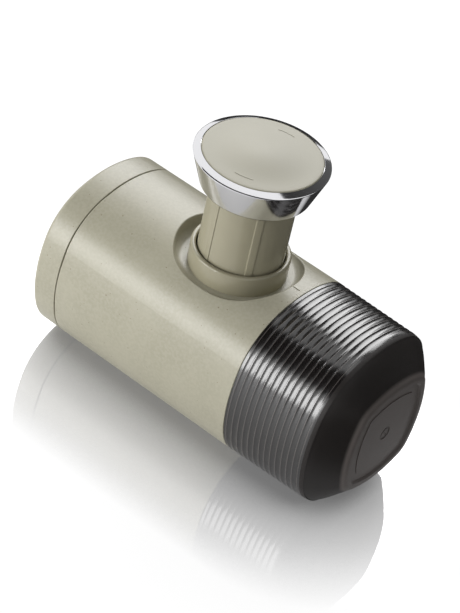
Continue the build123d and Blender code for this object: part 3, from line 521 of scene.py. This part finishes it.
crown_height, crown_reach, skin_height = 1.3 * mm, 19.5 * mm, 0.004 * mm
satin_pad, tree, output = blank_material("satin_pad_plastic")
radius = from_axis(tree, (column_x, 0, 0), (1, 1, 0))[1]
crown = add_node(tree, "ShaderNodeMapRange", Value=radius, From_Max=crown_reach, To_Min=crown_height, To_Max=0.0)
crown.interpolation_type = "SMOOTHSTEP"
skin = noise(tree, 2400.0)
swell = calculated(tree, "ADD", crown.outputs[0], calculated(tree, "MULTIPLY", skin, skin_height))
drift = swing(tree, noise(tree, 55.0, 3.0), 0.0, 1.0)
surfaced(
    tree, output, Base_Color=mix_colour(tree, drift, (0.372, 0.354, 0.268, 1), (0.384, 0.365, 0.277, 1)),
    Roughness=swing(tree, skin, 0.40, 0.46), Normal=bumped(tree, swell, 1.0, 1.0),
)
pad_outline = [
    (0.8, 78.0), (3.0, 77.99), (6.0, 77.965), (8.0, 77.935), (10.0, 77.90), (12.0, 77.86), (14.0, 77.82),
    (15.5, 77.79), (16.9, 77.765), (17.2, 77.76), (18.5, 77.74), (20.2, 77.70), (21.0, 77.67), (21.4, 77.64),
    (21.65, 77.59), (21.82, 77.50), (21.91, 77.37), (21.95, 77.2), (21.96, 77.0), (21.96, 75.55), (12.0, 75.55),
    (0.8, 75.55),
]
pad = turned("palm_pad", 224, pad_outline)
bpy.ops.mesh.merge(type="CENTER")
pick("VERT", lambda middle: abs(from_column(middle)[0] - pad_outline[0][0]) < 0.05 and middle.z > axis_z + 76 * mm)
bpy.ops.mesh.merge(type="CENTER")


arc_inner, arc_outer, arc_depth = 16.9, 17.2, 0.12
arc_bearings = [(89, 111), (-86, -62)]


def on_arc(middle):
    """whether a face lies on one of the two arcs, stretches of one narrow ring of faces"""
    radius, bearing = from_column(middle)
    on_top = middle.z > axis_z + 77.3 * mm
    return on_top and arc_inner < radius < arc_outer and any(low < bearing < high for low, high in arc_bearings)


pick("FACE", on_arc)
bpy.ops.mesh.extrude_region_move(TRANSFORM_OT_translate={"value": (0, 0, -arc_depth * mm)})
close_up()
bpy.ops.object.shade_smooth_by_angle(angle=math.radians(35))
pad.data.materials.append(satin_pad)
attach(pad, "knob")
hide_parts("knob_pad")
dress(screw_steel, "knob_screws")

# ---------------------------------------------------------------- bulkhead towards the tank
# A nylon plate closes the pump chamber. A soft intake tube with a fine woven filter at its end reaches into
# the tank, and a silicone umbrella valve lets air in as the water leaves.
dress(ivory_nylon, "tank_bulkhead")
dress(grey_silicone, "tank_gasket")
dress(moulded("soft_white_silicone", (0.560, 0.560, 0.545), 0.44, relief=0.00002, spread=0.04), "vent_valve")
dress(moulded("natural_polypropylene", (0.600, 0.595, 0.560), 0.34, relief=0.00001, spread=0.03), "intake_tube")
woven, tree, output = blank_material("woven_nylon_filter")
place = tree.nodes.new("ShaderNodeTexCoord").outputs["Object"]
threads = []
for run in ("Y", "Z"):
    thread = add_node(tree, "ShaderNodeTexWave", Vector=place, Scale=620.0, Distortion=0.4, Detail_Scale=2.0)
    thread.bands_direction = run
    threads.append(thread.outputs["Fac"])
weave = calculated(tree, "MAXIMUM", *threads)
surfaced(
    tree, output, Base_Color=mix_colour(tree, weave, (0.150, 0.148, 0.140, 1), (0.640, 0.635, 0.600, 1)),
    Roughness=ranged(tree, weave, 0.0, 1.0, 0.62, 0.42), Normal=bumped(tree, weave, 0.8, 0.00012),
)
dress(woven, "intake_filter")

# ---------------------------------------------------------------- water tank
# The visible end is the same speckled plastic as the body; behind the seam the tank is a smoked clear
# moulding that turns into the body's socket on three lugs, with a silicone ring round its neck.
dress(shell_plastic, "tank_cap")
smoked, tree, output = blank_material("smoked_clear_tank")
depth = swing(tree, noise(tree, 35.0), 0.0, 1.0)
haze = noise(tree, 700.0, 3.0)
surfaced(
    tree, output, Base_Color=mix_colour(tree, depth, (0.560, 0.545, 0.505, 1), (0.600, 0.585, 0.545, 1)),
    Roughness=ranged(tree, haze, 0.35, 0.7, 0.03, 0.09), Normal=bumped(tree, haze, 0.3, 0.00001),
    Transmission_Weight=0.88, IOR=1.49,
)
dress(smoked, "water_tank")
dress(grey_silicone, "tank_seal")

# ---------------------------------------------------------------- brewing head
# Black polypropylene with a spark-eroded skin. The base is screwed to the frame and holds the pressed shower
# plate; the outlet head turns onto it over the basket, with silicone between them, and ends in the spout.
satin_black = moulded(
    "satin_black_plastic", (0.016, 0.0155, 0.0155), 0.40, relief=0.00004, grain=1700.0, spread=0.10
)
dress(satin_black, "outlet_base", "outlet_head", "spout")
pressed_steel = turned_steel("pressed_steel", 0, (0.0, 0.0, axis_z), (0.63, 0.63, 0.64), 0.20, 0.32)
dress(pressed_steel, "shower_plate", "filter_basket")
dress(grey_silicone, "head_gasket", "cup_seal")

# ---------------------------------------------------------------- cup
# The drinking cup that covers the brewing head: one dark moulding with a gloss, fluted grip band, a matt,
# tapered foot and a low plateau in its base. It slips over a spigot and a seal.
mouth_x, shoulder_x, foot_x = 24.10, 58.55, 69.20           # millimetres along the body's axis
mouth_half, shoulder_half, foot_half = 34.0, 33.4, 22.3     # half widths across the flats
band_radii, foot_radii = (50.0, 25.0), (42.0, 8.0)          # of the bulged sides and of the corners
lip_stations = [(69.80, 21.85), (70.20, 21.2), (70.35, 20.4)]
lip_x = lip_stations[-1][0]
inner_mouth_x, inner_shoulder_x, floor_x = 24.50, 57.35, 67.15
inner_half, floor_half, floor_radii = 31.6, 18.6, (50.0, 9.0)
side_steps, corner_steps = 16, 22
flute_pitch, flute_count, first_flute_x, flute_depth = 2.5, 13, 26.25, 0.21
flute_steps = (-1.17, -0.92, -0.64, -0.33, 0.0, 0.33, 0.64, 0.92, 1.17)
shoulder_rounding, matt_from_x = 1.7, 58.5
lip_width, base_sink, base_draft, ring_width, plateau_rise = 1.4, 0.8, 0.965, 3.3, 0.25
recess_share, recess_sink, button_gap, button_rise = 0.165, 0.3, 0.8, 0.2

gloss_black, tree, output = blank_material("gloss_black_plastic")
along = add_node(tree, "ShaderNodeSeparateXYZ", Vector=object_point(tree, 1.0)).outputs[0]
drift = swing(tree, noise(tree, 40.0, 3.0), 0.0, 1.0)
band_colour = mix_colour(tree, drift, (0.0075, 0.0062, 0.0058, 1), (0.0090, 0.0075, 0.0070, 1))
# the crests between the flutes are painted lighter: a painted highlight along each crest
from_crest = calculated(tree, "PINGPONG", along, flute_pitch / 2 * mm)
painted_crest_highlight = ranged(tree, from_crest, 0.07 * mm, 0.18 * mm, 1.0, 0.0)
surfaced(
    tree, output, Base_Color=mix_colour(tree, painted_crest_highlight, band_colour, (0.0900, 0.0790, 0.0740, 1)),
    Roughness=swing(tree, noise(tree, 800.0), 0.18, 0.22), IOR=1.85,
)

matt_black, tree, output = blank_material("matt_black_plastic")
along = add_node(tree, "ShaderNodeSeparateXYZ", Vector=object_point(tree, 1.0)).outputs[0]
drift = swing(tree, noise(tree, 40.0, 3.0), 0.0, 1.0)
side_colour = mix_colour(tree, drift, (0.0150, 0.0122, 0.0110, 1), (0.0180, 0.0148, 0.0134, 1))
# the base is coloured far lighter than the sides: a painted reflection of the bright table
painted_base_light = ranged(tree, along, 68.5 * mm, 69.3 * mm, 0.0, 1.0)
spark = noise(tree, 3200.0)
surfaced(
    tree, output, Base_Color=mix_colour(tree, painted_base_light, side_colour, (0.1160, 0.1010, 0.0930, 1)),
    Roughness=swing(tree, spark, 0.42, 0.50), Normal=bumped(tree, spark, 0.6, 0.00005), IOR=1.40,
)


def square_ring(x, half, side_radius, corner_radius):
    """spins one point through eight arcs: a square with bulged sides and round corners, across the body's axis"""
    lift, reach = side_radius - half, side_radius - corner_radius
    corner = (math.sqrt(2 * reach**2 - lift**2) - lift) / 2
    side_half = math.asin(corner / reach)
    start_y, start_z = -side_radius * math.sin(side_half), side_radius * math.cos(side_half) - lift
    bpy.ops.mesh.select_mode(type="VERT")
    bpy.ops.mesh.primitive_plane_add(size=1 * mm, location=(x * mm, start_y * mm, axis_z + start_z * mm))
    bpy.ops.mesh.merge(type="CENTER")
    for quarter in range(4):
        turn = Matrix.Rotation(-math.pi / 2 * quarter, 3, "X")
        for heart, span, steps in (
            (turn @ Vector((0, 0, -lift)), 2 * side_half, side_steps),
            (turn @ Vector((0, corner, corner)), math.pi / 2 - 2 * side_half, corner_steps),
        ):
            bpy.ops.mesh.spin(
                steps=steps, angle=span, axis=(1, 0, 0), center=(x * mm, heart.y * mm, axis_z + heart.z * mm)
            )
    bpy.ops.mesh.select_linked()
    bpy.ops.mesh.remove_doubles(threshold=0.002 * mm)
    bpy.ops.mesh.select_mode(type="EDGE")


def pick_rings(*places):
    """picks the rings that lie across the body's axis at these places along it"""
    pick("EDGE", lambda middle, run: abs(run.x) < 0.001 * mm and any(abs(middle.x / mm - x) < 0.005 for x in places))


def carry_along(x, half, stations):
    """extrudes the picked ring along the body's axis from station to station, each a place and a half width"""
    for next_x, next_half in stations:
        bpy.ops.mesh.extrude_region_move(TRANSFORM_OT_translate={"value": ((next_x - x) * mm, 0, 0)})
        ratio = next_half / half
        bpy.ops.transform.resize(value=(1, ratio, ratio), center_override=(next_x * mm, 0, axis_z))
        x, half = next_x, next_half


def sink(depth):
    """extrudes the picked face into the base, or out of it where the depth is negative"""
    bpy.ops.mesh.extrude_region_move(TRANSFORM_OT_translate={"value": (-depth * mm, 0, 0)})


# outside: the drafted wall with its flutes, the convex taper and the rounded lip
wall_stations = []
for flute in range(flute_count):
    for step in flute_steps:
        x = first_flute_x + flute_pitch * flute + step
        wall_half = mouth_half - (mouth_half - shoulder_half) * (x - mouth_x) / (shoulder_x - mouth_x)
        wall_stations.append((x, wall_half - flute_depth * (1 - (step / flute_steps[-1]) ** 2)))
wall_stations.append((shoulder_x, shoulder_half))
bpy.ops.object.select_all(action="DESELECT")
bpy.ops.mesh.primitive_plane_add(size=1 * mm)
cup = edit_start("cup_shell")
bpy.ops.mesh.delete(type="VERT")
square_ring(mouth_x, mouth_half, *band_radii)
carry_along(mouth_x, mouth_half, wall_stations)
square_ring(foot_x, foot_half, *foot_radii)
pick_rings(shoulder_x, foot_x)
bpy.ops.mesh.bridge_edge_loops(number_cuts=9, profile_shape="SPHERE", profile_shape_factor=0.035)
pick_rings(foot_x)
carry_along(foot_x, foot_half, lip_stations)
# inside: straight over the spigot, then drawn in towards a flat floor; its mouth starts apart, to be picked
square_ring(inner_mouth_x, inner_half, *band_radii)
carry_along(inner_mouth_x, inner_half, [(inner_shoulder_x, inner_half)])
square_ring(floor_x, floor_half, *floor_radii)
pick_rings(inner_shoulder_x, floor_x)
bpy.ops.mesh.bridge_edge_loops(number_cuts=3)
pick_rings(floor_x)
bpy.ops.mesh.edge_face_add()
pick_rings(mouth_x, inner_mouth_x)
bpy.ops.mesh.bridge_edge_loops()
pick_rings(inner_mouth_x)
bpy.ops.transform.translate(value=((mouth_x - inner_mouth_x) * mm, 0, 0))
# base: the lip, a sunken ring with a drafted wall, a low plateau and a round recess with a button in it
pick_rings(lip_x)
bpy.ops.mesh.edge_face_add()
bpy.ops.mesh.select_mode(type="FACE")
bpy.ops.mesh.inset(thickness=lip_width * mm)
sink(base_sink)
sunk_x = lip_x - base_sink
bpy.ops.transform.resize(value=(1, base_draft, base_draft), center_override=(sunk_x * mm, 0, axis_z))
bpy.ops.mesh.inset(thickness=ring_width * mm)
sink(-plateau_rise)
sink(0)
plateau_heart = ((sunk_x + plateau_rise) * mm, 0, axis_z)
bpy.ops.transform.resize(value=(1, recess_share, recess_share), center_override=plateau_heart)
bpy.ops.transform.tosphere(value=1.0)
sink(recess_sink)
bpy.ops.mesh.inset(thickness=button_gap * mm)
sink(-button_rise)
# a soft shoulder, a flat that the cup rests on, and softer edges where the hand and the lips meet it
pick_rings(shoulder_x)
bpy.ops.mesh.bevel(offset=shoulder_rounding * mm, segments=8, affect="EDGES")
join_doubles()
bpy.ops.mesh.bisect(
    plane_co=(0, 0, 0), plane_no=(0, 0, 1), clear_inner=True, use_fill=True, threshold=0.001 * mm
)
close_up()
soften(cup, 0.16, 3, angle=38)
bpy.ops.object.modifier_add(type="WEIGHTED_NORMAL")
cup.modifiers[-1].keep_sharp = True
bpy.ops.object.modifier_apply(modifier=cup.modifiers[-1].name)
cup.data.materials.append(gloss_black)
cup.data.materials.append(matt_black)
bpy.ops.object.mode_set(mode="EDIT")
pick("FACE", lambda middle: middle.x > matt_from_x * mm)
cup.active_material_index = 1
bpy.ops.object.material_slot_assign()
bpy.ops.object.mode_set(mode="OBJECT")
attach(cup, "cup")
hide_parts("cup")
